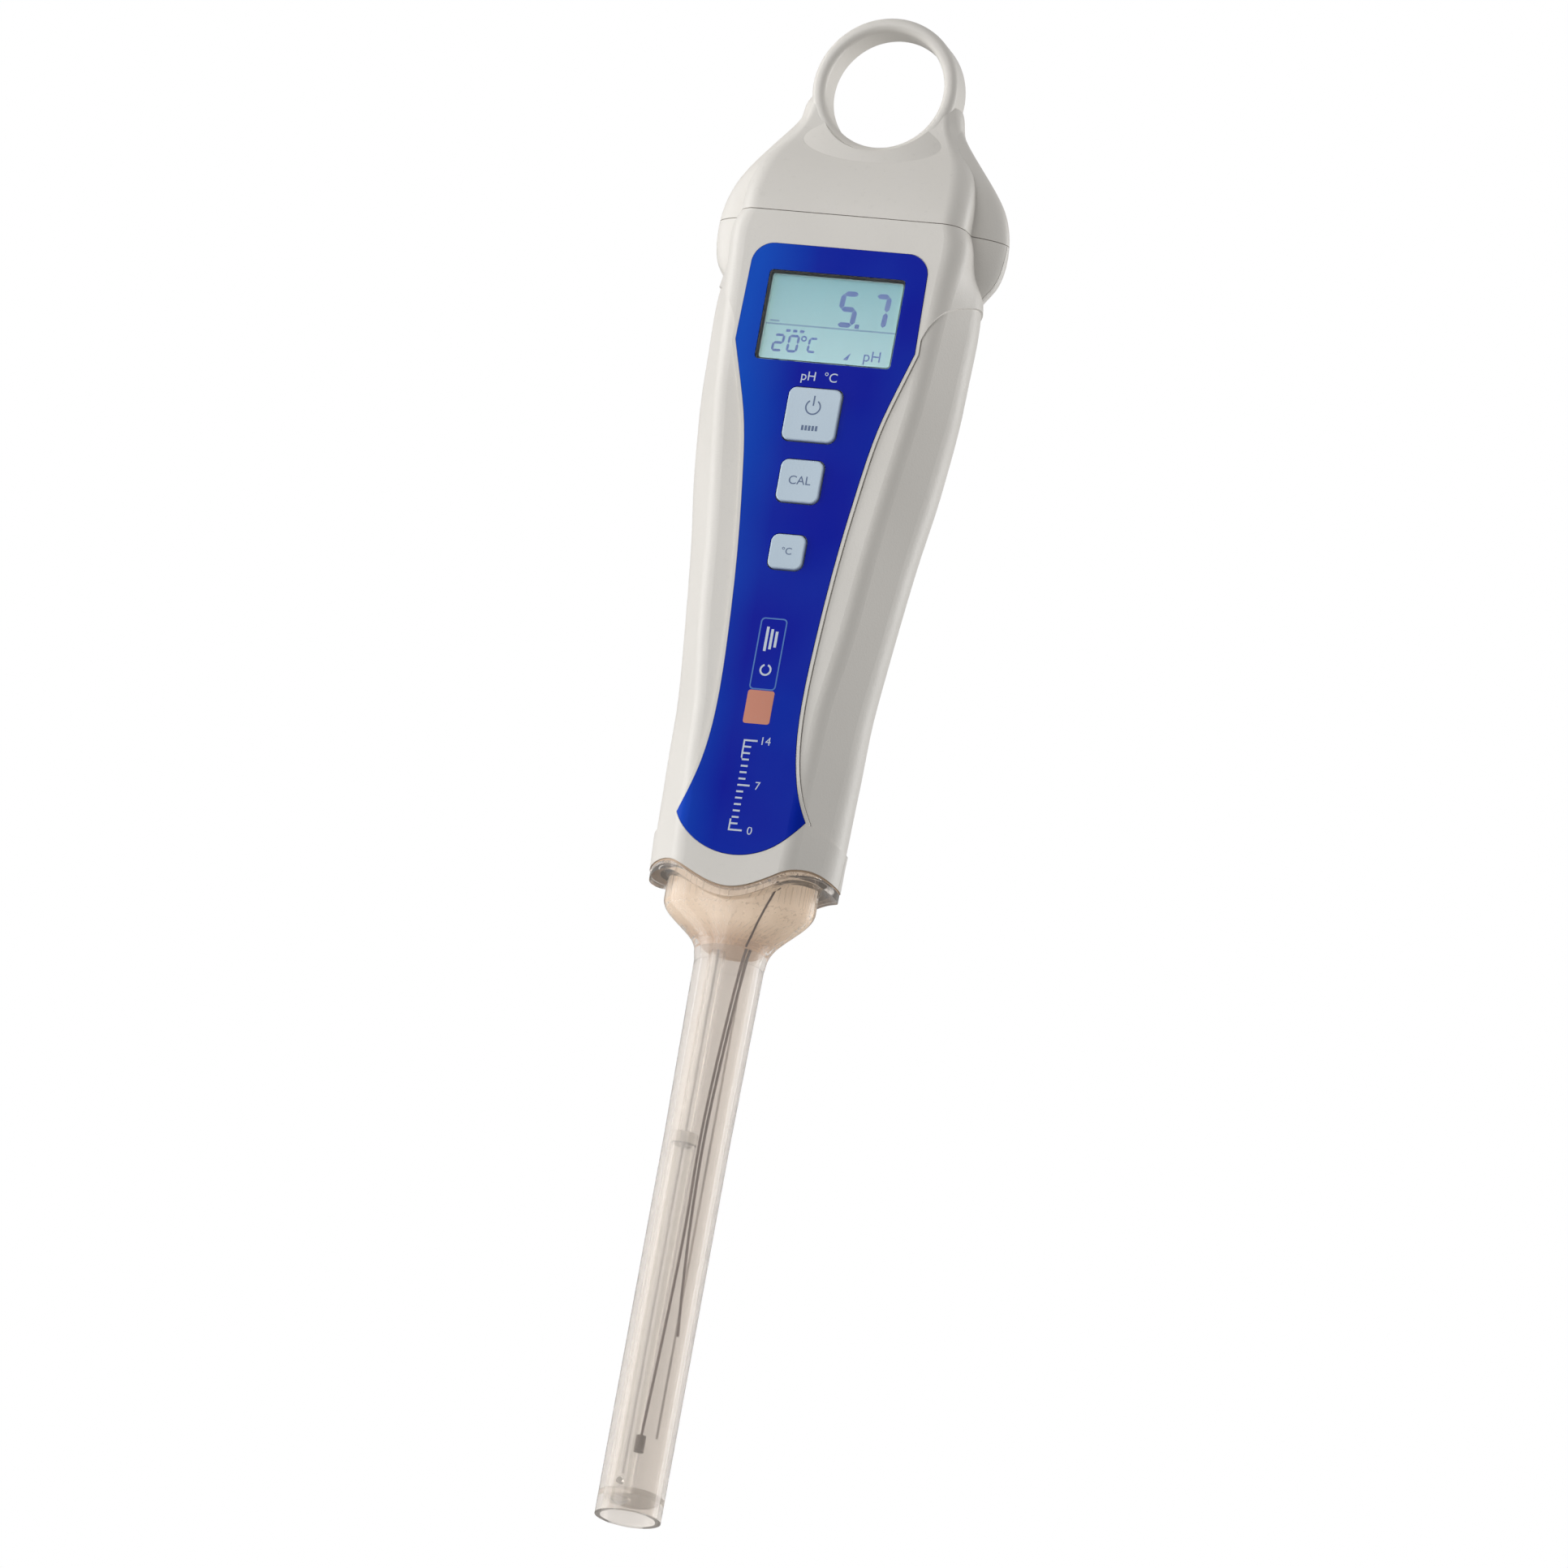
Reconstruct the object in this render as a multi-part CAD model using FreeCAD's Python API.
import FreeCAD, Part
import math
import os

# Pen type pH meter, upright: +Z runs up the pen, the display faces -Y, and the origin is the
# middle of the hanging loop's bore. All sizes are in millimetres.

V = FreeCAD.Vector
X_AXIS = V(1, 0, 0)
Y_AXIS = V(0, 1, 0)
Z_AXIS = V(0, 0, 1)
FAR = 60.0  # half size of cutting blocks, well outside the pen
LOFT_DEGREE = 3
HEAD_SECTIONS = 9
BODY_SECTIONS = 19
WING_SECTIONS = 15
FUNNEL_SECTIONS = 9
SHARP_R = 0.4  # sharpest corner of an inner wall

# ---- driving sizes ----

# hanging loop
LOOP_BORE_R = 11.0
LOOP_RIM = 2.6
LOOP_DEPTH = 7.2
LOOP_EDGE = 1.2

# lengths along the pen
HEAD_LENGTH = 26.5  # loop centre to the cap seam
BODY_LENGTH = 126.8  # cap seam to the lowest point of the shell
FUNNEL_LENGTH = 12.3  # lowest point of the shell to the round stem
STEM_LENGTH = 103.9  # round stem, funnel to tip

# the body's outline
BODY_HALF_WIDTH = 25.0
WAIST_HALF_WIDTH = 18.0  # at the lower end
HEAD_HALF_WIDTH = 21.6  # the raised middle of the head, between the wings
WING_HALF_WIDTH = 27.4
WING_HALF_DEPTH = 7.0
EDGE_R = 3.8  # front edge of the body; the side and back edges follow it
WALL = 1.8
CAP_WALL = 1.6
GRIP_STEP = 0.35  # how far the grip panels lie below the head and chin
SEAM_GAP = 0.15
PARTING_GAP = 0.1
WAVE_LOW = 4.8  # height of the wave in the lower edge, middle to crest
WAVE_CREST_X = 14.4
WAVE_SIDE_DROP = 1.5

# battery and its tube
BATTERY_R = 5.25
BATTERY_LENGTH = 44.5
BATTERY_PLAY = 0.2
TUBE_WALL = 0.65
BATTERY_Y = 2.6  # battery axis behind the pen's axis
NECK_HEIGHT = 7.0  # tube above the cap seam
BATTERY_SINK = 2.5  # battery's flat end below the neck's rim
TUBE_BACK_ROOM = 2.0  # between the tube and the back wall
SEAL_CORD_R = 0.55
SEAL_LAND = 0.7  # height of the two collars that hold the seal
SOCKET_GAP = 0.25  # seal ring to the cap's socket

# display and board, from the front wall inwards
LABEL_T = 0.35
LABEL_PROUD = 0.1
WINDOW_W = 25.7
WINDOW_H = 17.0
WINDOW_T = 0.75
WINDOW_LAP = 1.0
WINDOW_BELOW_SEAM = 19.7  # seam to the window's middle
CELL_W = 28.7
CELL_H = 20.2
CELL_T = 1.2
BACKLIGHT_T = 0.8
FRAME_WALL = 1.1
BOARD_STANDOFF = 1.6
BOARD_T = 0.8
BOARD_HALF_WIDTH = 12.0
BOARD_TUBE_GAP = 0.1
BOARD_TOP = 7.5  # seam to the board's top edge
BOARD_LENGTH = 72.0
BOSS_R = 1.8
SCREW_R = 0.7
BOSS_X = 9.8
BOSS_DROP = 34.5  # seam to the upper screws
BOSS_LOW_X = 7.0
CHIP_RISE = 7.3
FIT_GAP = 0.1

# keys: name, side, distance from the seam to the middle
KEYS = [("power", 10.0, 38.0), ("calibrate", 8.0, 50.6), ("units", 6.5, 64.0)]
KEY_CORNER = 1.4
KEY_PROUD = 0.45
KEY_GAP = 0.25
KEY_TRAVEL = 0.4
KEY_FLANGE = 0.8
KEY_FLANGE_T = 0.7
MEMBRANE_T = 0.5
MEMBRANE_HEIGHT = 1.6  # its back above the board
TRAY_HALF_WIDTH = 7.2
TRAY_TOP = 32.4
TRAY_LOW = 68.3
TRAY_WALL = 0.8
PLUNGER_R = 1.2

# label
LABEL_TOP_BELOW_SEAM = 6.3
LABEL_ABOVE_END = 5.8
LABEL_TOP_HALF = 16.6
LABEL_SHOULDER_HALF = 16.9
LABEL_SHOULDER_DROP = 18.6
LABEL_CORNER = 4.0
LABEL_WAIST_HALF = 7.8
LABEL_LOBE_HALF = 12.1
LABEL_LOBE_RISE = 7.3
LABEL_GAP = 0.1
LABEL_LIP = 0.7  # strip of the front shell showing round the label

# head step line and chin line, as distances from the seam and from the lower end
STEP_OUT_DROP = 12.0
STEP_BEND_X = 20.9
STEP_BEND_DROP = 16.0
CHIN_OUT_RISE = 10.3

# latch clip at the back of the cap
CLIP_HALF_WIDTH = 6.0
CLIP_T = 1.5
CLIP_LENGTH = 17.0
CLIP_KNUCKLE_R = 1.6
CLIP_PIN_R = 0.75
CLIP_PIN_GAP = 0.05
CLIP_GAP = 0.35
CLIP_POCKET = 0.8
CLIP_AXIS_ABOVE_SEAM = 4.5
CLIP_EAR = 2.0

# probe
FLANGE_T = 1.5
GASKET_T = 0.4
COLLAR_T = 1.2
COLLAR_RISE = 4.0  # collar above the wave's crest, inside the shells
FUNNEL_HALF_WIDTH = 14.2
FUNNEL_HALF_DEPTH = 6.9
FUNNEL_WALL = 1.2
SKIRT_DROP = 0.9  # straight part of the funnel below the shell
STEM_R = 6.0
STEM_DRAFT = 0.35  # the stem grows by this towards the funnel
STEM_TAPER_LENGTH = 32.0
STEM_WALL = 1.0
TIP_RECESS = 3.2
ELECTRODE_R = 2.4
ELECTRODE_X = -2.45
GLASS_WALL = 0.6
UPPER_GLASS_R = 1.5
JUNCTION_DROP = 32.0  # funnel's end to the ring where the two glass tubes meet
JUNCTION_H = 2.0
WIRE_R = 0.25
REFERENCE_X = 1.7
REFERENCE_Y = 3.2
LEAD_R = 0.45
CHANNEL_GAP = 0.3  # open channel in the resin round the sensor's wires
SENSOR_LEAD_X = 7.6
SENSOR_LEAD_Y = -3.9
WIRE_TOP = 8.0  # tops of the electrode wires above the lower end of the shell
POTTING_TOP = 4.0
POTTING_RISE = 2.5  # underside of the resin above the stem's top
SENSOR_R = 0.9
SENSOR_LENGTH = 3.0
SEAL_T = 1.2

# ---- heights and depths worked out from the sizes above ----

SEAM_Z = -HEAD_LENGTH
END_Z = SEAM_Z - BODY_LENGTH
STEM_Z = END_Z - FUNNEL_LENGTH
TIP_Z = STEM_Z - STEM_LENGTH
LOOP_R = LOOP_BORE_R + LOOP_RIM

TUBE_R = BATTERY_R + BATTERY_PLAY + TUBE_WALL
NECK_Z = SEAM_Z + NECK_HEIGHT
BATTERY_TOP = NECK_Z - BATTERY_SINK
BATTERY_END = BATTERY_TOP - BATTERY_LENGTH
CONTACT_T = 0.4
TUBE_END = BATTERY_END - CONTACT_T - 1.0
SEAL_R = TUBE_R + SEAL_CORD_R
SOCKET_R = SEAL_R + SEAL_CORD_R + SOCKET_GAP

BACK_Y = BATTERY_Y + TUBE_R + TUBE_BACK_ROOM + WALL
BOARD_BACK = BATTERY_Y - TUBE_R - BOARD_TUBE_GAP
BOARD_FRONT = BOARD_BACK - BOARD_T
BACKLIGHT_FRONT = BOARD_FRONT - BOARD_STANDOFF - BACKLIGHT_T
CELL_FRONT = BACKLIGHT_FRONT - CELL_T
FRONT_Y = CELL_FRONT - WALL
INNER_FRONT = FRONT_Y + WALL
LABEL_FRONT = FRONT_Y - LABEL_PROUD
LABEL_BACK = LABEL_FRONT + LABEL_T

WINDOW_Z = SEAM_Z - WINDOW_BELOW_SEAM
BOARD_TOP_Z = SEAM_Z - BOARD_TOP
BOARD_END_Z = BOARD_TOP_Z - BOARD_LENGTH
DECK_T = 2.0
DECK_Z = SEAM_Z - SEAM_GAP / 2
DECK_UNDER = DECK_Z - DECK_T
JUNCTION_Z = STEM_Z - JUNCTION_DROP
SEAL_Z = TIP_Z + TIP_RECESS
CLIP_AXIS_Z = SEAM_Z + CLIP_AXIS_ABOVE_SEAM
CLIP_FLOOR_Y = BACK_Y - CLIP_POCKET
CLIP_AXIS_Y = CLIP_FLOOR_Y + CLIP_GAP + CLIP_KNUCKLE_R
LABEL_TOP_Z = SEAM_Z - LABEL_TOP_BELOW_SEAM
LABEL_END_Z = END_Z + LABEL_ABOVE_END
LABEL_SHOULDER_Z = LABEL_TOP_Z - LABEL_SHOULDER_DROP
LABEL_LOBE_Z = LABEL_END_Z + LABEL_LOBE_RISE
MEMBRANE_BACK = BOARD_FRONT - MEMBRANE_HEIGHT
MEMBRANE_FRONT = MEMBRANE_BACK - MEMBRANE_T


# ---- small helpers ----


def box(x0, x1, y0, y1, z0, z1):
    return Part.makeBox(x1 - x0, y1 - y0, z1 - z0, V(x0, y0, z0))


def rod(r, z0, z1, x=0.0, y=0.0):
    """Upright cylinder from z0 up to z1."""
    return Part.makeCylinder(r, z1 - z0, V(x, y, z0))


def pipe(r_out, r_in, z0, z1, x=0.0, y=0.0):
    return rod(r_out, z0, z1, x, y).cut(rod(r_in, z0, z1, x, y))


def cross_rod(r, x0, x1, y, z):
    """Cylinder along X."""
    return Part.makeCylinder(r, x1 - x0, V(x0, y, z), X_AXIS)


def depth_rod(r, y0, y1, x, z):
    """Cylinder along Y."""
    return Part.makeCylinder(r, y1 - y0, V(x, y0, z), Y_AXIS)


def square(side_x, side_z, corner, z_mid, y0, y1):
    """Rounded rectangle centred on x = 0, extruded from y0 to y1."""
    block = box(-side_x / 2, side_x / 2, y0, y1, z_mid - side_z / 2, z_mid + side_z / 2)
    upright = [e for e in block.Edges if abs(e.Vertexes[0].Y - e.Vertexes[1].Y) > 1e-6]
    return block.makeFillet(corner, upright)


def fuse(shapes):
    whole = shapes[0]
    for shape in shapes[1:]:
        whole = whole.fuse(shape)
    return whole.removeSplitter()


def cut(shape, tools):
    for tool in tools:
        shape = shape.cut(tool)
    return shape


def slab(z0, z1):
    return box(-FAR, FAR, -FAR, FAR, z0, z1)


def front_half():
    return box(-FAR, FAR, -FAR, -PARTING_GAP / 2, -4 * FAR, FAR)


def back_half():
    return box(-FAR, FAR, PARTING_GAP / 2, FAR, -4 * FAR, FAR)


def mirrored(points):
    """The points followed by their mirror images, back towards the start."""
    return points + [(-x, z) for x, z in reversed(points)]


def smooth(points):
    """One smooth edge through points (x, z) in the plane y = 0."""
    curve = Part.BSplineCurve()
    curve.interpolate([V(x, 0, z) for x, z in points])
    return curve.toShape()


def straight(a, b):
    return Part.makeLine(V(a[0], 0, a[1]), V(b[0], 0, b[1]))


def bow(a, m, b):
    return Part.Arc(V(a[0], 0, a[1]), V(m[0], 0, m[1]), V(b[0], 0, b[1])).toShape()


def prism(edges, y0, y1):
    """Closed outline in the plane y = 0, extruded from y0 to y1."""
    face = Part.Face(Part.Wire(edges))
    face.translate(V(0, y0, 0))
    return face.extrude(V(0, y1 - y0, 0))


def turned(points, x=0.0, y=0.0):
    """Solid of revolution about an upright axis from an outline of (radius, z) points."""
    ring = [V(x + r, y, z) for r, z in points]
    face = Part.Face(Part.makePolygon(ring + ring[:1]))
    return face.revolve(V(x, y, 0), Z_AXIS, 360)


# ---- cross-sections: a closed line drawn tight round six circles ----


def hull_wire(circles, z):
    """Outline round circles (x, y, r) given anticlockwise, at height z."""
    count = len(circles)
    normals = []
    for i in range(count):
        x0, y0, r0 = circles[i]
        x1, y1, r1 = circles[(i + 1) % count]
        length = math.hypot(x1 - x0, y1 - y0)
        ux = (x1 - x0) / length
        uy = (y1 - y0) / length
        along = (r0 - r1) / length
        across = math.sqrt(1 - along * along)
        normals.append((along * ux + across * uy, along * uy - across * ux))
    edges = []
    for i in range(count):
        x0, y0, r0 = circles[i]
        x1, y1, r1 = circles[(i + 1) % count]
        nx, ny = normals[i]
        mx, my = normals[i - 1]
        mid = math.hypot(nx + mx, ny + my)
        first = V(x0 + r0 * mx, y0 + r0 * my, z)
        middle = V(x0 + r0 * (nx + mx) / mid, y0 + r0 * (ny + my) / mid, z)
        last = V(x0 + r0 * nx, y0 + r0 * ny, z)
        edges.append(Part.Arc(first, middle, last).toShape())
        edges.append(Part.makeLine(last, V(x1 + r1 * nx, y1 + r1 * ny, z)))
    return Part.Wire(edges)


def drawn_in(x, y, r, inset):
    """Circle r at (x, y) made smaller by inset; below the sharpest corner it moves inwards."""
    left = r - inset
    if left >= SHARP_R:
        return (x, y, left)
    move = SHARP_R - left
    return (x - move, y - math.copysign(move, y) if y else y, SHARP_R)


def section(z, half, flat, front, back, edge, inset):
    """Cross-section of the body: flat front, widest at y = 0, rounded back."""
    side = 1.6 * edge
    rear = 2.0 * edge
    right = [
        drawn_in(flat, front + edge, edge, inset),
        drawn_in(half - side, 0.0, side, inset),
        drawn_in(0.52 * half, back - rear, rear, inset),
    ]
    left = [(-x, y, r) for x, y, r in reversed(right)]
    return hull_wire(right + left, z)


def between(rows, drop):
    """Values at one height from rows that start with a height: smooth, with no overshoot."""
    i = 0
    while i < len(rows) - 2 and drop > rows[i + 1][0]:
        i += 1
    x0 = rows[i][0]
    x1 = rows[i + 1][0]
    t = (drop - x0) / (x1 - x0)
    values = []
    for column in range(1, len(rows[0])):
        rises = []
        for a, b in zip(rows, rows[1:]):
            rises.append((b[column] - a[column]) / (b[0] - a[0]))
        slopes = []
        for k in (i, i + 1):
            before = rises[max(k - 1, 0)]
            after = rises[min(k, len(rises) - 1)]
            slopes.append(0.0 if before * after <= 0 else 2 * before * after / (before + after))
        span = x1 - x0
        start = rows[i][column]
        end = rows[i + 1][column]
        values.append(
            start * (1 + 2 * t) * (1 - t) ** 2
            + end * t * t * (3 - 2 * t)
            + slopes[0] * span * t * (1 - t) ** 2
            - slopes[1] * span * t * t * (1 - t)
        )
    return values


def even_rows(rows, count):
    """The same shape with count rows, evenly spaced, which a loft follows closely."""
    first = rows[0][0]
    last = rows[-1][0]
    drops = [first + (last - first) * k / (count - 1) for k in range(count)]
    return [[drop] + between(rows, drop) for drop in drops]


def head_loft(inset=0.0):
    """The raised middle of the head, from inside the loop down to the seam."""
    w = HEAD_HALF_WIDTH
    f = FRONT_Y
    b = BACK_Y
    rows = [
        (0.08, 0.660 * w, 0.52 * w, 0.35 * f, 0.27 * b, 0.45),
        (0.30, 0.750 * w, 0.60 * w, 0.375 * f, 0.33 * b, 0.50),
        (0.45, 0.860 * w, 0.69 * w, 0.48 * f, 0.50 * b, 0.70),
        (0.58, 0.935 * w, 0.76 * w, 0.68 * f, 0.74 * b, 0.90),
        (0.72, 0.975 * w, 0.79 * w, 0.84 * f, 0.92 * b, 1.00),
        (0.86, 0.995 * w, 0.81 * w, 0.95 * f, 0.985 * b, 1.00),
        (1.00, w, 0.81 * w, f, b, 1.00),
    ]
    wires = []
    for drop, half, flat, front, back, edge in even_rows(rows, HEAD_SECTIONS):
        wires.append(section(-drop * HEAD_LENGTH, half, flat, front, back, edge * EDGE_R, inset))
    return Part.makeLoft(wires, True, False, False, LOFT_DEGREE)


def body_loft(inset=0.0):
    """The body from the seam to below the shell's lower edge."""
    w = BODY_HALF_WIDTH
    e = WAIST_HALF_WIDTH
    h = HEAD_HALF_WIDTH
    f = FRONT_Y
    b = BACK_Y
    rows = [
        (0.00, h, 0.81 * h, f, b, 1.00),
        (0.06, 0.45 * h + 0.55 * w, 0.74 * w, f, b, 1.00),
        (0.13, w, 0.72 * w, f, b, 1.00),
        (0.25, 0.988 * w, 0.690 * w, f, 0.99 * b, 1.00),
        (0.37, 0.940 * w, 0.620 * w, f, 0.95 * b, 1.00),
        (0.49, 0.857 * w, 0.545 * w, f, 0.90 * b, 1.00),
        (0.61, 0.60 * e + 0.36 * w, 0.49 * w, f, 0.85 * b, 1.00),
        (0.73, 1.030 * e, 0.575 * e, f, 0.80 * b, 1.00),
        (0.86, 1.012 * e, 0.530 * e, 0.985 * f, 0.76 * b, 1.05),
        (1.06, 0.960 * e, 0.480 * e, 0.900 * f, 0.73 * b, 1.10),
    ]
    wires = []
    for drop, half, flat, front, back, edge in even_rows(rows, BODY_SECTIONS):
        z = SEAM_Z - drop * BODY_LENGTH
        wires.append(section(z, half, flat, front, back, edge * EDGE_R, inset))
    return Part.makeLoft(wires, True, False, False, LOFT_DEGREE)


def ellipse_wire(z, half_x, half_y, y=0.0):
    if half_x < half_y + 1e-4:
        return Part.Wire(Part.makeCircle(half_x, V(0, y, z)))
    oval = Part.Ellipse(V(half_x, y, z), V(0, y + half_y, z), V(0, y, z))
    return Part.Wire(oval.toShape())


def wing_loft():
    """The two side wings, one lens-shaped body that runs up into the loop."""
    w = WING_HALF_WIDTH
    d = WING_HALF_DEPTH
    rows = [
        (-0.04, LOOP_R - 0.8, 0.30 * d, 0.0),
        (0.06, LOOP_R - 0.05, 0.46 * d, 0.0),
        (0.16, LOOP_R + 0.9, 0.50 * d, -0.3),
        (0.30, 0.600 * w, 0.54 * d, -0.8),
        (0.45, 0.712 * w, 0.66 * d, -1.2),
        (0.60, 0.830 * w, 0.80 * d, -1.0),
        (0.75, 0.930 * w, 0.91 * d, -0.2),
        (0.90, 0.982 * w, 0.98 * d, 0.4),
        (1.05, w, d, 0.8),
        (1.18, 0.995 * w, 0.97 * d, 1.0),
        (1.32, 0.945 * w, 0.86 * d, 1.0),
        (1.46, 0.870 * w, 0.70 * d, 1.0),
        (1.58, 0.780 * w, 0.50 * d, 1.0),
    ]
    wires = []
    for drop, half_x, half_y, mid in even_rows(rows, WING_SECTIONS):
        wires.append(ellipse_wire(-drop * HEAD_LENGTH, half_x, half_y, mid))
    return Part.makeLoft(wires, True, False, False, LOFT_DEGREE)


# ---- outlines seen from the front ----


def wave_edges(shift):
    """The shell's wavy lower edge, moved down by shift, as an outline that reaches below it."""
    low = END_Z - shift
    side = BODY_HALF_WIDTH + 10
    half = [
        (side, low + WAVE_LOW - 2.2 * WAVE_SIDE_DROP),
        (WAIST_HALF_WIDTH + 0.4, low + WAVE_LOW - WAVE_SIDE_DROP),
        (WAVE_CREST_X, low + WAVE_LOW),
        (0.52 * WAVE_CREST_X, low + 0.5 * WAVE_LOW),
    ]
    curve = half + [(0.0, low)] + [(-x, z) for x, z in reversed(half)]
    under = low - 2 * FAR
    return [
        smooth(curve),
        straight(curve[-1], (-side, under)),
        straight((-side, under), (side, under)),
        straight((side, under), curve[0]),
    ]


def below_wave(shift):
    return prism(wave_edges(shift), -FAR, FAR)


def label_prism(grow, y0, y1):
    """The label's hourglass outline, grown by grow, from y0 to y1."""
    top = LABEL_TOP_Z + grow
    top_half = LABEL_TOP_HALF + grow
    shoulder = (LABEL_SHOULDER_HALF + grow, LABEL_SHOULDER_Z)
    lobe = (LABEL_LOBE_HALF + grow, LABEL_LOBE_Z)
    span = LABEL_SHOULDER_Z - LABEL_LOBE_Z
    drop_in = LABEL_SHOULDER_HALF - LABEL_WAIST_HALF
    spread = LABEL_LOBE_HALF - LABEL_WAIST_HALF
    shape = [(0.08, 0.76), (0.16, 0.54), (0.28, 0.345), (0.45, 0.155), (0.62, 0.04), (0.75, 0.0)]
    side = [shoulder]
    for drop, share in shape:
        half = LABEL_WAIST_HALF + share * drop_in
        side.append((half + grow, LABEL_SHOULDER_Z - drop * span))
    side.append((LABEL_WAIST_HALF + 0.22 * spread + grow, LABEL_SHOULDER_Z - 0.885 * span))
    side.append(lobe)
    c = LABEL_CORNER
    bend = c * (1 - math.sqrt(0.5))
    corner = [(top_half - c, top), (top_half - bend, top - bend), (top_half, top - c)]
    edges = [
        straight((-corner[0][0], top), corner[0]),
        bow(corner[0], corner[1], corner[2]),
        straight(corner[2], shoulder),
        smooth(side),
        bow(lobe, (0.0, LABEL_END_Z - grow), (-lobe[0], lobe[1])),
        smooth([(-x, z) for x, z in reversed(side)]),
        straight((-shoulder[0], shoulder[1]), (-top_half, top - c)),
        bow((-top_half, top - c), (-top_half + bend, top - bend), (-top_half + c, top)),
    ]
    return prism(edges, y0, y1)


def head_prism():
    """Everything above the step line that curves from the wings to the label's shoulders."""
    inner = (LABEL_SHOULDER_HALF + LABEL_GAP, LABEL_SHOULDER_Z)
    bend = (STEP_BEND_X, SEAM_Z - STEP_BEND_DROP)
    outer = (BODY_HALF_WIDTH + 1.0, SEAM_Z - STEP_OUT_DROP)
    edge = (FAR, outer[1])
    points = [inner, bend, outer, edge]
    other = [(-x, z) for x, z in points]
    edges = [
        straight(other[0], inner),
        bow(inner, bend, outer),
        straight(outer, edge),
        straight(edge, (FAR, FAR)),
        straight((FAR, FAR), (-FAR, FAR)),
        straight((-FAR, FAR), other[3]),
        straight(other[3], other[2]),
        bow(other[2], other[1], other[0]),
    ]
    return prism(edges, -FAR, FAR)


def chin_prism():
    """Everything below the line that runs out from the label's two lobes."""
    half = [(LABEL_LOBE_HALF + LABEL_GAP, LABEL_LOBE_Z), (WAIST_HALF_WIDTH, END_Z + CHIN_OUT_RISE)]
    half.append((FAR, END_Z + CHIN_OUT_RISE))
    half.append((FAR, END_Z - FAR))
    ring = mirrored(half)
    edges = []
    for a, b in zip(ring, ring[1:] + ring[:1]):
        edges.append(straight(a, b))
    return prism(edges, -FAR, FAR)


# ---- the loop ----


def loop_ring():
    """Flat ring with rounded edges, its bore along Y."""
    r0 = LOOP_BORE_R
    r1 = LOOP_R
    h = LOOP_DEPTH / 2
    e = LOOP_EDGE
    b = e * (1 - math.sqrt(0.5))

    def at(r, y):
        return V(r, y, 0)

    corners = [
        (at(r0, h - e), at(r0 + b, h - b), at(r0 + e, h)),
        (at(r1 - e, h), at(r1 - b, h - b), at(r1, h - e)),
        (at(r1, e - h), at(r1 - b, b - h), at(r1 - e, -h)),
        (at(r0 + e, -h), at(r0 + b, b - h), at(r0, e - h)),
    ]
    edges = []
    for here, after in zip(corners, corners[1:] + corners[:1]):
        edges.append(Part.Arc(*here).toShape())
        if (here[2] - after[0]).Length > 1e-6:
            edges.append(Part.makeLine(here[2], after[0]))
    return Part.Face(Part.Wire(edges)).revolve(V(0, 0, 0), Y_AXIS, 360)


def loop_bore():
    """Cutter for the loop's hole: straight in the middle, flared at both faces."""
    r = LOOP_BORE_R
    h = LOOP_DEPTH / 2
    e = LOOP_EDGE
    b = e * (1 - math.sqrt(0.5))
    out = h + 4
    points = [V(0, -out, 0), V(r + e + 1, -out, 0), V(r + e, -h, 0)]
    edges = [
        Part.makeLine(points[0], points[1]),
        Part.makeLine(points[1], points[2]),
        Part.Arc(points[2], V(r + b, b - h, 0), V(r, e - h, 0)).toShape(),
        Part.makeLine(V(r, e - h, 0), V(r, h - e, 0)),
        Part.Arc(V(r, h - e, 0), V(r + b, h - b, 0), V(r + e, h, 0)).toShape(),
        Part.makeLine(V(r + e, h, 0), V(r + e + 1, out, 0)),
        Part.makeLine(V(r + e + 1, out, 0), V(0, out, 0)),
        Part.makeLine(V(0, out, 0), points[0]),
    ]
    return Part.Face(Part.Wire(edges)).revolve(V(0, 0, 0), Y_AXIS, 360)


# ---- battery cap, its spring and its latch clip ----


def clip_pocket():
    wide = CLIP_HALF_WIDTH + CLIP_GAP
    low = CLIP_AXIS_Z - CLIP_LENGTH - CLIP_GAP
    high = CLIP_AXIS_Z + CLIP_KNUCKLE_R + CLIP_GAP
    return box(-wide, wide, CLIP_FLOOR_Y, BACK_Y + 5, low, high)


def battery_cap():
    above = slab(SEAM_Z + SEAM_GAP / 2, FAR)
    solid = fuse([head_loft(), wing_loft().common(above)]).common(above)
    solid = fuse([solid, loop_ring()])
    room_top = NECK_Z + SEAL_CORD_R + 0.9
    room = head_loft(CAP_WALL).common(slab(SEAM_Z - 1, room_top))
    socket = rod(SOCKET_R + CAP_WALL, SEAM_Z - 1, room_top, 0, BATTERY_Y)
    solid = solid.cut(room.cut(socket))
    solid = cut(solid, [rod(SOCKET_R, SEAM_Z - 1, room_top, 0, BATTERY_Y), loop_bore(), clip_pocket()])
    ears = []
    for side in (-1, 1):
        near = side * (CLIP_HALF_WIDTH + CLIP_GAP)
        far = side * (CLIP_HALF_WIDTH + CLIP_GAP + CLIP_EAR)
        x0 = min(near, far)
        x1 = max(near, far)
        ear = cross_rod(CLIP_KNUCKLE_R, x0, x1, CLIP_AXIS_Y, CLIP_AXIS_Z)
        foot = box(x0, x1, CLIP_FLOOR_Y - 1.5, CLIP_AXIS_Y, CLIP_AXIS_Z - CLIP_KNUCKLE_R,
                   CLIP_AXIS_Z + CLIP_KNUCKLE_R)
        ears.append(ear.fuse(foot))
    solid = fuse([solid] + ears)
    reach = CLIP_HALF_WIDTH + CLIP_GAP + CLIP_EAR
    return solid.cut(cross_rod(CLIP_PIN_R, -reach, reach, CLIP_AXIS_Y, CLIP_AXIS_Z))


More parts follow.
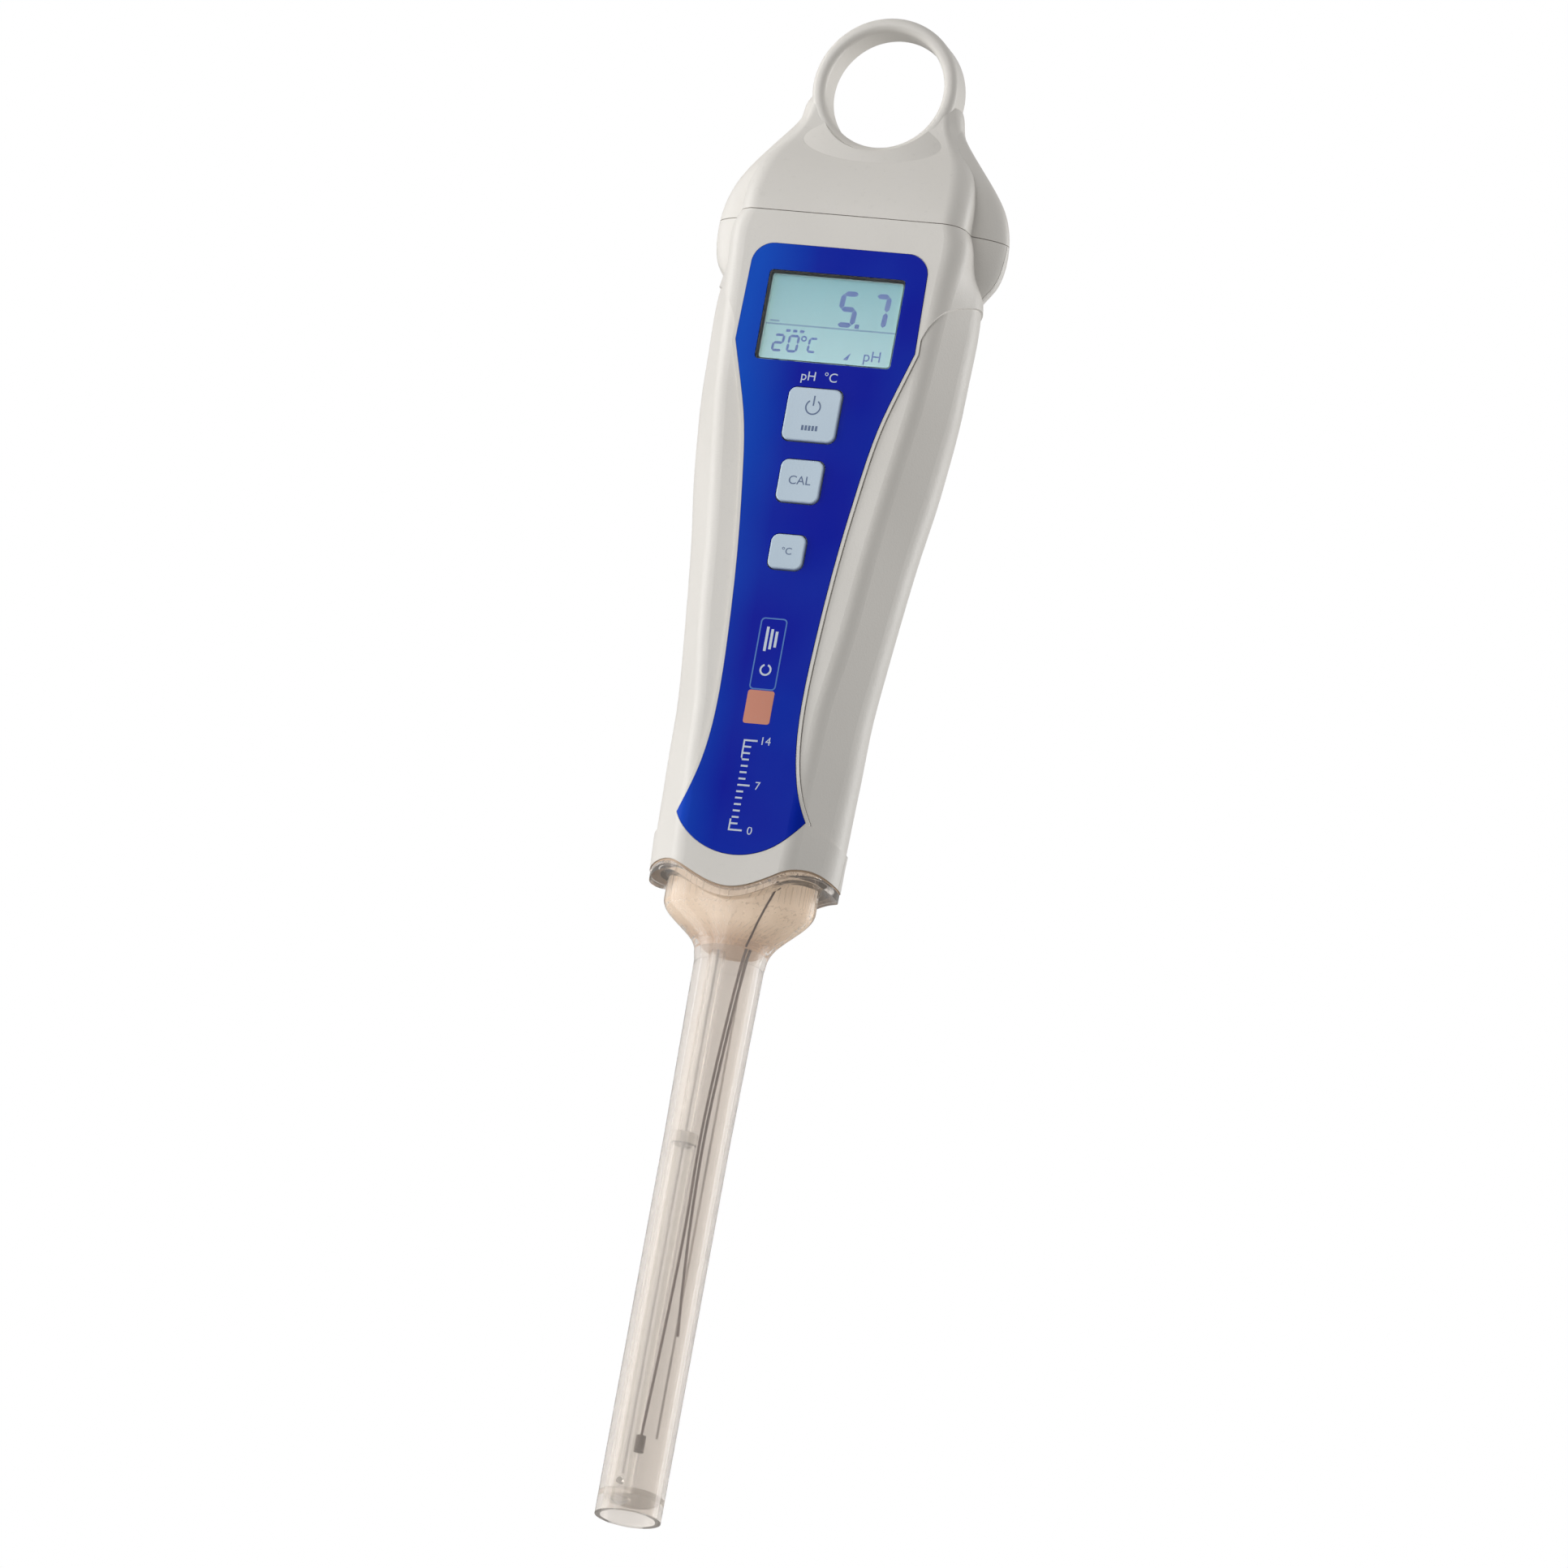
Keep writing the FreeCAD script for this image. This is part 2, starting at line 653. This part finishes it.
def clip_pin():
    reach = CLIP_HALF_WIDTH + CLIP_GAP + CLIP_EAR
    return cross_rod(CLIP_PIN_R, -reach, reach, CLIP_AXIS_Y, CLIP_AXIS_Z)


def cap_clip():
    """Latch plate that hangs from its pin and lies in the pocket at the back."""
    w = CLIP_HALF_WIDTH
    y0 = CLIP_FLOOR_Y + CLIP_GAP
    low = CLIP_AXIS_Z - CLIP_LENGTH
    plate = box(-w, w, y0, y0 + CLIP_T, low, CLIP_AXIS_Z)
    lower = [e for e in plate.Edges if abs(e.Vertexes[0].Y - e.Vertexes[1].Y) > 1e-6
             and e.Vertexes[0].Z < low + 0.1]
    plate = plate.makeFillet(3.0, lower)
    knuckle = cross_rod(CLIP_KNUCKLE_R, -w, w, CLIP_AXIS_Y, CLIP_AXIS_Z)
    lip = cross_rod(0.9, -w + 3, w - 3, y0 + CLIP_T, low + 1.4)
    lip = lip.common(box(-w, w, y0 + 0.2, y0 + 5, low, CLIP_AXIS_Z))
    solid = fuse([plate, knuckle, lip])
    return solid.cut(cross_rod(CLIP_PIN_R + CLIP_PIN_GAP, -w, w, CLIP_AXIS_Y, CLIP_AXIS_Z))


def spring_plate():
    top = NECK_Z + SEAL_CORD_R + 0.9
    return pipe(SOCKET_R - 0.4, 1.5, top - 0.3, top, 0, BATTERY_Y)


def battery_spring():
    """Conical contact spring between the plate and the battery's flat end."""
    wire = 0.25
    top = NECK_Z + SEAL_CORD_R + 0.9 - 0.3 - wire
    low = BATTERY_TOP + 0.2 + wire
    turns = 3
    helix = Part.makeHelix((top - low) / turns, top - low, 3.8, -12)
    start = helix.Edges[0].Vertexes[0].Point
    ring = Part.Wire(Part.makeCircle(wire, start, V(0, 1, 0.15)))
    coil = Part.Wire(helix.Edges).makePipeShell([ring], True, True)
    coil.rotate(V(0, 0, 0), X_AXIS, 180)
    coil.translate(V(0, BATTERY_Y, top))
    return coil


# ---- shells ----


def shell_blank(inset):
    """Closed-top tube of the body's outline, cut at the wavy lower edge."""
    outer = body_loft(inset)
    if inset == 0.0:
        outer = fuse([outer, wing_loft()])
    outer = outer.common(slab(END_Z - 10, DECK_Z))
    inner = body_loft(WALL).common(slab(END_Z - 10, DECK_UNDER))
    neck = rod(TUBE_R, DECK_UNDER - 1, DECK_Z + 1, 0, BATTERY_Y)
    return cut(outer, [inner, neck, below_wave(0.0), clip_pocket()])


def label_pocket():
    return label_prism(LABEL_GAP, -FAR, 0).cut(body_loft(LABEL_T - LABEL_PROUD))


def key_openings(y0, y1):
    cutters = []
    for name, side, drop in KEYS:
        open_side = side + 2 * KEY_GAP
        corner = KEY_CORNER + KEY_GAP
        cutters.append(square(open_side, open_side, corner, SEAM_Z - drop, y0, y1))
    return cutters


def screw_places():
    upper = SEAM_Z - BOSS_DROP
    lower = BOARD_END_Z + BOSS_R + 0.4
    return [(-BOSS_X, upper), (BOSS_X, upper), (-BOSS_LOW_X, lower), (BOSS_LOW_X, lower)]


def front_shell():
    """Head front, the strip under the label and the chin, in one moulding."""
    blank = shell_blank(0.0).common(front_half())
    strip = label_prism(LABEL_LIP, -FAR, 0)
    solid = fuse([blank.common(head_prism()), blank.common(strip), blank.common(chin_prism())])
    solid = solid.cut(label_pocket())
    ledge = square(WINDOW_W + 2 * WINDOW_LAP + 2 * FIT_GAP, WINDOW_H + 2 * WINDOW_LAP + 2 * FIT_GAP,
                   1.5, WINDOW_Z, FRONT_Y - 2, LABEL_BACK + WINDOW_T)
    opening = square(WINDOW_W, WINDOW_H, 0.8, WINDOW_Z, FRONT_Y - 2, INNER_FRONT + 1)
    solid = cut(solid, [ledge, opening] + key_openings(FRONT_Y - 2, INNER_FRONT + 1))
    posts = []
    for x, z in screw_places():
        posts.append(depth_rod(BOSS_R, INNER_FRONT - 0.3, BOARD_FRONT, x, z))
    solid = fuse([solid] + posts)
    holes = [depth_rod(SCREW_R, INNER_FRONT + 0.6, BOARD_FRONT + 1, x, z) for x, z in screw_places()]
    return cut(solid, holes)


def rear_shell():
    """The back with the grip panels, which lie a little below the head and the chin."""
    full = shell_blank(0.0).common(back_half())
    grip = shell_blank(GRIP_STEP)
    grip = cut(grip, [head_prism(), chin_prism(), label_prism(LABEL_LIP + PARTING_GAP, -FAR, 0)])
    return fuse([full.common(head_prism()), full.common(chin_prism()), grip])


# ---- battery compartment ----


def battery_tube():
    bore = BATTERY_R + BATTERY_PLAY
    tube = rod(TUBE_R, TUBE_END, NECK_Z, 0, BATTERY_Y)
    seal_z = (SEAM_Z + NECK_Z) / 2
    tube = fuse([
        tube,
        rod(SEAL_R, seal_z + SEAL_CORD_R, seal_z + SEAL_CORD_R + SEAL_LAND, 0, BATTERY_Y),
        rod(SEAL_R, seal_z - SEAL_CORD_R - SEAL_LAND, seal_z - SEAL_CORD_R, 0, BATTERY_Y),
        rod(TUBE_R + 1.2, DECK_UNDER - 1.0, DECK_UNDER, 0, BATTERY_Y).cut(
            box(-FAR, FAR, -FAR, BATTERY_Y - TUBE_R, -FAR, FAR)),
    ])
    return tube.cut(rod(bore, TUBE_END + 1.0, NECK_Z + 1, 0, BATTERY_Y))


def cap_seal():
    seal_z = (SEAM_Z + NECK_Z) / 2
    ring = Part.makeTorus(SEAL_R, SEAL_CORD_R, V(0, BATTERY_Y, seal_z))
    return ring.cut(rod(TUBE_R, seal_z - 2, seal_z + 2, 0, BATTERY_Y))


def battery():
    nub_r = 1.9
    nub_h = 1.0
    can = rod(BATTERY_R, BATTERY_END + nub_h, BATTERY_TOP, 0, BATTERY_Y)
    return can.fuse(rod(nub_r, BATTERY_END, BATTERY_END + nub_h, 0, BATTERY_Y)).removeSplitter()


def positive_contact():
    return rod(BATTERY_R - 0.4, BATTERY_END - CONTACT_T, BATTERY_END, 0, BATTERY_Y)


def neck_contact():
    """Thin ring on the neck's rim that the cap's spring plate faces."""
    return pipe(TUBE_R, BATTERY_R + BATTERY_PLAY, NECK_Z, NECK_Z + 0.3, 0, BATTERY_Y)


# ---- display and board ----


def label_overlay():
    skin = body_loft(-LABEL_PROUD).cut(body_loft(LABEL_T - LABEL_PROUD))
    label = label_prism(0.0, -FAR, 0).common(skin)
    opening = square(WINDOW_W, WINDOW_H, 0.8, WINDOW_Z, FRONT_Y - 2, FRONT_Y + 2)
    return cut(label, [opening] + key_openings(FRONT_Y - 2, FRONT_Y + 2))


def lcd_window():
    lap = 2 * WINDOW_LAP
    plate = square(WINDOW_W + lap, WINDOW_H + lap, 1.4, WINDOW_Z, LABEL_BACK, LABEL_BACK + WINDOW_T)
    face = square(WINDOW_W - 0.1, WINDOW_H - 0.1, 0.8, WINDOW_Z, LABEL_FRONT, LABEL_BACK)
    return plate.fuse(face).removeSplitter()


def display_block(y0, y1, shrink=0.0):
    half_w = CELL_W / 2 - shrink
    half_h = CELL_H / 2 - shrink
    return box(-half_w, half_w, y0, y1, WINDOW_Z - half_h, WINDOW_Z + half_h)


def display_frame():
    """Frame that holds the display to the board, with a lip up to the window."""
    outer = display_block(INNER_FRONT, BOARD_FRONT, -FIT_GAP - FRAME_WALL)
    inner = display_block(INNER_FRONT - 1, BOARD_FRONT + 1, -FIT_GAP)
    lip = square(WINDOW_W - 0.1, WINDOW_H - 0.1, 0.8, WINDOW_Z, LABEL_BACK + WINDOW_T, INNER_FRONT)
    view = square(WINDOW_W - 1.0, WINDOW_H - 1.0, 0.6, WINDOW_Z, FRONT_Y, INNER_FRONT + 1)
    return [outer.cut(inner), lip.cut(view)]


def lcd_connectors():
    strips = []
    for side in (-1, 1):
        z = WINDOW_Z + side * (CELL_H / 2 - 1.0)
        reach = CELL_W / 2 - 1
        strips.append(box(-reach, reach, BACKLIGHT_FRONT, BOARD_FRONT, z - 0.8, z + 0.8))
    return Part.makeCompound(strips)


def circuit_board():
    w = BOARD_HALF_WIDTH
    board = box(-w, w, BOARD_FRONT, BOARD_BACK, BOARD_END_Z, BOARD_TOP_Z)
    holes = [depth_rod(SCREW_R, BOARD_FRONT - 1, BOARD_BACK + 1, x, z) for x, z in screw_places()]
    return cut(board, holes)


def board_screws():
    screws = []
    for x, z in screw_places():
        shank = depth_rod(SCREW_R, INNER_FRONT + 0.8, BOARD_BACK, x, z)
        head = depth_rod(2 * SCREW_R, BOARD_BACK, BOARD_BACK + 0.8, x, z)
        slot = box(x - 2, x + 2, BOARD_BACK + 0.4, BOARD_BACK + 1, z - 0.15, z + 0.15)
        screws.append(shank.fuse(head).cut(slot).removeSplitter())
    return Part.makeCompound(screws)


def switch_front():
    """Height of a switch's button: the plunger stops just short of it when pressed."""
    return MEMBRANE_BACK + KEY_TRAVEL + 0.15


def key_switches():
    switches = []
    for name, side, drop in KEYS:
        z = SEAM_Z - drop
        body = box(-2, 2, BOARD_FRONT - 0.7, BOARD_FRONT, z - 2, z + 2)
        button = depth_rod(0.8, switch_front(), BOARD_FRONT - 0.7, 0, z)
        switches.append(body.fuse(button).removeSplitter())
    return Part.makeCompound(switches)


def keypad_membrane():
    """Silicone tray under the keys, standing on the board, open where each plunger passes."""
    half = TRAY_HALF_WIDTH
    top = SEAM_Z - TRAY_TOP
    low = SEAM_Z - TRAY_LOW
    tray = box(-half, half, MEMBRANE_FRONT, BOARD_FRONT, low, top)
    t = TRAY_WALL
    inside = box(-half + t, half - t, MEMBRANE_BACK, BOARD_FRONT, low + t, top - t)
    holes = []
    for name, side, drop in KEYS:
        z = SEAM_Z - drop
        holes.append(depth_rod(PLUNGER_R + 0.4, MEMBRANE_FRONT - 1, MEMBRANE_BACK + 0.5, 0, z))
    return cut(tray, [inside] + holes)


def meter_chip():
    z = BOARD_END_Z + CHIP_RISE
    return box(-3, 3, BOARD_FRONT - 1.0, BOARD_FRONT, z - 3, z + 3)


def board_parts():
    """Small surface parts: capacitors, resistors and a crystal round the chip."""
    z = BOARD_END_Z + CHIP_RISE
    parts = []
    for x, dz, wide, high, tall in [(-5.2, 1.5, 1.6, 0.8, 0.6), (-5.2, -1.5, 1.6, 0.8, 0.6),
                                    (5.4, 2.0, 2.0, 1.2, 0.8), (5.4, -2.2, 3.2, 1.5, 0.9)]:
        parts.append(box(x - wide / 2, x + wide / 2, BOARD_FRONT - tall, BOARD_FRONT,
                         z + dz - high / 2, z + dz + high / 2))
    return Part.makeCompound(parts)


# ---- keys ----


def key_shape(side, drop):
    """Key cap with the flange that keeps it in."""
    z = SEAM_Z - drop
    flange_y = INNER_FRONT + 0.2
    cap = square(side, side, KEY_CORNER, z, LABEL_FRONT - KEY_PROUD, flange_y)
    front = [e for e in cap.Edges if max(v.Y for v in e.Vertexes) < LABEL_FRONT - KEY_PROUD + 0.01]
    cap = cap.makeFillet(0.3, front)
    wide = side + 2 * KEY_FLANGE
    flange = square(wide, wide, KEY_CORNER, z, flange_y, flange_y + KEY_FLANGE_T)
    return cap.fuse(flange).removeSplitter()


def plunger_shape(drop):
    y0 = INNER_FRONT + 0.2 + KEY_FLANGE_T
    return depth_rod(PLUNGER_R, y0, MEMBRANE_BACK, 0, SEAM_Z - drop)


# ---- probe ----


def funnel_rows(inset):
    """Ovals from the funnel's shoulder down to the round stem."""
    foot = STEM_R + STEM_DRAFT
    drop = FUNNEL_LENGTH - SKIRT_DROP
    rows = [(0.0, 1.0), (0.12, 0.955), (0.26, 0.80), (0.44, 0.49), (0.62, 0.20), (0.8, 0.05), (1.0, 0.0)]
    wires = []
    for share, open_share in even_rows(rows, FUNNEL_SECTIONS):
        half_x = foot + (FUNNEL_HALF_WIDTH - foot) * open_share - inset
        half_y = foot + (FUNNEL_HALF_DEPTH - foot) * open_share - inset
        wires.append(ellipse_wire(END_Z - SKIRT_DROP - share * drop, half_x, half_y))
    return wires


def funnel_skirt(inset, top):
    """Straight upper part of the funnel, an oval tube up to the height top."""
    low = END_Z - SKIRT_DROP
    oval = ellipse_wire(low, FUNNEL_HALF_WIDTH - inset, FUNNEL_HALF_DEPTH - inset)
    return Part.Face(oval).extrude(V(0, 0, top - low))


def funnel_cone(inset):
    return Part.makeLoft(funnel_rows(inset), True, False, False, LOFT_DEGREE)


def stem_outline():
    taper_z = STEM_Z - STEM_TAPER_LENGTH
    top = (STEM_R + STEM_DRAFT, STEM_Z)
    return turned([(0, STEM_Z), top, (STEM_R, taper_z), (STEM_R, TIP_Z), (0, TIP_Z)])


def probe_housing():
    """Clear moulding: wavy flange, inner collar, funnel and stem."""
    top = END_Z + WAVE_LOW + COLLAR_RISE
    flange = body_loft(0.15).common(below_wave(GASKET_T)).cut(below_wave(GASKET_T + FLANGE_T))
    collar = body_loft(WALL + FIT_GAP).cut(body_loft(WALL + FIT_GAP + COLLAR_T))
    collar = collar.common(slab(END_Z - 1, top)).cut(below_wave(GASKET_T + FLANGE_T / 2))
    bore = rod(STEM_R - STEM_WALL, TIP_Z - 1, STEM_Z + 3)
    solid = fuse([flange, collar, funnel_skirt(0.0, top), funnel_cone(0.0), stem_outline()])
    hollow = funnel_skirt(FUNNEL_WALL, top + 1)
    return cut(solid, [hollow, funnel_cone(FUNNEL_WALL), bore, junction_plug_blank()])


def collar_gasket():
    ring = body_loft(0.25).common(below_wave(0.0)).cut(below_wave(GASKET_T))
    return ring.cut(body_loft(WALL))


def junction_plug_blank():
    """Round plug through the stem's wall near the tip."""
    plug = Part.makeCylinder(0.6, STEM_R + 2, V(0, 0, TIP_Z + 5.3), V(-0.15, -1, 0))
    wall = pipe(STEM_R, STEM_R - STEM_WALL, TIP_Z + 3, TIP_Z + 8)
    return plug.common(wall)


def electrode_glass():
    """Wide glass tube with a round sensing bulb at its lower end."""
    r = ELECTRODE_R
    t = GLASS_WALL
    mid = SEAL_Z + r - 0.9
    top = JUNCTION_Z - JUNCTION_H
    x = ELECTRODE_X
    outer = rod(r, mid, top, x).fuse(Part.makeSphere(r, V(x, 0, mid)))
    inner = rod(r - t, mid, top + 1, x).fuse(Part.makeSphere(r - t, V(x, 0, mid)))
    return outer.cut(inner).removeSplitter()


def upper_glass():
    low = JUNCTION_Z - JUNCTION_H
    return pipe(UPPER_GLASS_R, UPPER_GLASS_R - GLASS_WALL, low, END_Z + 6, ELECTRODE_X)


def junction_ring():
    return pipe(ELECTRODE_R + 0.1, UPPER_GLASS_R, JUNCTION_Z - JUNCTION_H, JUNCTION_Z, ELECTRODE_X)


def tip_seal():
    disc = rod(STEM_R - STEM_WALL, SEAL_Z, SEAL_Z + SEAL_T)
    return disc.cut(rod(ELECTRODE_R, SEAL_Z - 1, SEAL_Z + SEAL_T + 1, ELECTRODE_X))


def potting():
    """Resin that fills the funnel round the glass tube and the wires."""
    low = STEM_Z + POTTING_RISE
    skirt = funnel_skirt(FUNNEL_WALL, potting_top())
    cone = funnel_cone(FUNNEL_WALL).common(slab(low, END_Z))
    fill = fuse([skirt, cone, rod(STEM_R - STEM_WALL, low, STEM_Z + 3)])
    tube = rod(UPPER_GLASS_R, low - 1, END_Z + 7, ELECTRODE_X)
    wire = rod(WIRE_R, low - 1, END_Z + 7, REFERENCE_X, REFERENCE_Y)
    return cut(fill, [tube, wire, temperature_leads(WIRE_R + CHANNEL_GAP)])


# ---- wires: straight runs joined by tangent arcs ----


def wire_path(points):
    """Polyline with each corner rounded as far as its two runs allow."""
    edges = []
    here = points[0]
    for i in range(1, len(points) - 1):
        before = points[i] - points[i - 1]
        after = points[i + 1] - points[i]
        turn = before.getAngle(after)
        reach = 0.45 * min(before.Length, after.Length)
        into = before.normalize()
        out = after.normalize()
        start = points[i] - into * reach
        end = points[i] + out * reach
        radius = reach / math.tan(turn / 2)
        side = (out - into).normalize()
        centre = points[i] + side * math.hypot(radius, reach)
        middle = centre - side * radius
        edges.append(Part.makeLine(here, start))
        edges.append(Part.Arc(start, middle, end).toShape())
        here = end
    edges.append(Part.makeLine(here, points[-1]))
    return Part.Wire(edges)


def wire_solid(points, r):
    path = wire_path(points)
    way = points[1] - points[0]
    ring = Part.Wire(Part.makeCircle(r, points[0], way))
    return path.makePipeShell([ring], True, True)


def potting_top():
    return END_Z + POTTING_TOP


def measuring_wire():
    return rod(WIRE_R, SEAL_Z + 5, END_Z + WIRE_TOP, ELECTRODE_X)


def reference_wire():
    return rod(WIRE_R, TIP_Z + 16, END_Z + WIRE_TOP, REFERENCE_X, REFERENCE_Y)


def sensor_end():
    return V(0.9, -3.4, TIP_Z + 11.4)


def temperature_leads(r=WIRE_R):
    """Two thin dark wires that wander down the stem, one to the bead and one to its return."""
    top = potting_top() + 2
    shared = [
        V(SENSOR_LEAD_X, SENSOR_LEAD_Y, top),
        V(6.4, -4.0, END_Z - 2.5),
        V(3.3, -2.8, END_Z - 9.5),
        V(2.5, -2.5, STEM_Z - 7),
        V(2.0, -2.8, STEM_Z - 17),
        V(1.4, -2.9, STEM_Z - 33),
        V(1.8, -2.8, STEM_Z - 50),
    ]
    main = shared + [V(1.4, -3.1, STEM_Z - 72), sensor_end() + V(0, 0, SENSOR_LENGTH)]
    shift = V(0.55, 0.5, 0)
    other = [p + shift for p in shared]
    other = other + [V(3.0, -2.0, STEM_Z - 62), V(3.5, -1.5, STEM_Z - 70)]
    return Part.makeCompound([wire_solid(main, r), wire_solid(other, r)])


def temperature_sensor():
    end = sensor_end()
    return rod(SENSOR_R, end.z, end.z + SENSOR_LENGTH, end.x, end.y)


def probe_leads():
    """Insulated leads from the board down to the tops of the two electrode wires."""
    low = END_Z + WIRE_TOP
    y = BOARD_BACK + LEAD_R
    leads = []
    for x, x_end, y_end in [(-4.0, ELECTRODE_X, 0.0), (1.0, REFERENCE_X, REFERENCE_Y)]:
        leads.append(wire_solid([
            V(x, y, BOARD_END_Z + 4),
            V(x, y, BOARD_END_Z - 8),
            V(0.5 * (x + x_end), 0.5 * (y + y_end), 0.5 * (BOARD_END_Z + low)),
            V(x_end, y_end, low + 12),
            V(x_end, y_end, low),
        ], LEAD_R))
    return Part.makeCompound(leads)


def sensor_leads():
    low = potting_top() + 2.2
    y = BOARD_BACK + LEAD_R
    leads = []
    for x, dx, dy in [(2.8, 0.0, 0.0), (4.2, 0.55, 0.5)]:
        leads.append(wire_solid([
            V(x, y, BOARD_END_Z + 4),
            V(x, y, BOARD_END_Z - 8),
            V(x + 1.5, -2.8 + dy, 0.5 * (BOARD_END_Z + low)),
            V(SENSOR_LEAD_X + dx, SENSOR_LEAD_Y + dy, low + 11),
            V(SENSOR_LEAD_X + dx, SENSOR_LEAD_Y + dy, low),
        ], WIRE_R))
    return Part.makeCompound(leads)


def battery_leads():
    """One lead from each battery contact to the back of the board."""
    y = BOARD_BACK + LEAD_R
    tube_side = TUBE_R + 1.2 + LEAD_R + 0.2
    land = TUBE_END - 9
    negative = wire_solid([
        V(tube_side, BATTERY_Y, DECK_UNDER - 0.2),
        V(tube_side, BATTERY_Y, TUBE_END - 2),
        V(tube_side, y, land),
        V(tube_side, y, land - 4),
    ], LEAD_R)
    positive = wire_solid([
        V(-2.0, BATTERY_Y - 1, TUBE_END),
        V(-2.0, BATTERY_Y - 1, TUBE_END - 4),
        V(-2.0, y, land),
        V(-2.0, y, land - 4),
    ], LEAD_R)
    return Part.makeCompound([negative, positive])


# ---- write one file for each piece ----


def pieces():
    frame, lip = display_frame()
    yield "battery_cap", battery_cap()
    yield "spring_plate", spring_plate()
    yield "battery_spring", battery_spring()
    yield "clip_pin", clip_pin()
    yield "cap_clip", cap_clip()
    yield "front_shell", front_shell()
    yield "rear_shell", rear_shell()
    yield "battery_tube", battery_tube()
    yield "cap_seal", cap_seal()
    yield "battery", battery()
    yield "positive_contact", positive_contact()
    yield "neck_contact", neck_contact()
    yield "label_overlay", label_overlay()
    yield "lcd_window", lcd_window()
    yield "lcd_bezel", lip
    yield "display_frame", frame
    yield "lcd_glass", display_block(CELL_FRONT, CELL_FRONT + CELL_T)
    yield "lcd_backlight", display_block(BACKLIGHT_FRONT, BACKLIGHT_FRONT + BACKLIGHT_T, 2.5)
    yield "lcd_connectors", lcd_connectors()
    yield "circuit_board", circuit_board()
    yield "board_screws", board_screws()
    yield "key_switches", key_switches()
    yield "keypad_membrane", keypad_membrane()
    yield "meter_chip", meter_chip()
    yield "board_parts", board_parts()
    yield "battery_leads", battery_leads()
    yield "probe_leads", probe_leads()
    yield "sensor_leads", sensor_leads()
    for name, side, drop in KEYS:
        yield name + "_key", key_shape(side, drop)
        yield name + "_plunger", plunger_shape(drop)
    yield "collar_gasket", collar_gasket()
    yield "probe_housing", probe_housing()
    yield "potting", potting()
    yield "electrode_glass", electrode_glass()
    yield "upper_glass", upper_glass()
    yield "junction_ring", junction_ring()
    yield "measuring_wire", measuring_wire()
    yield "reference_wire", reference_wire()
    yield "temperature_leads", temperature_leads()
    yield "temperature_sensor", temperature_sensor()
    yield "reference_junction", junction_plug_blank()
    yield "tip_seal", tip_seal()


os.makedirs("parts", exist_ok=True)
for node, shape in pieces():
    shape.exportStep(os.path.join("parts", node + ".step"))
    print(node, len(shape.Solids), "solids", round(shape.Volume, 1), "mm3", shape.isValid())
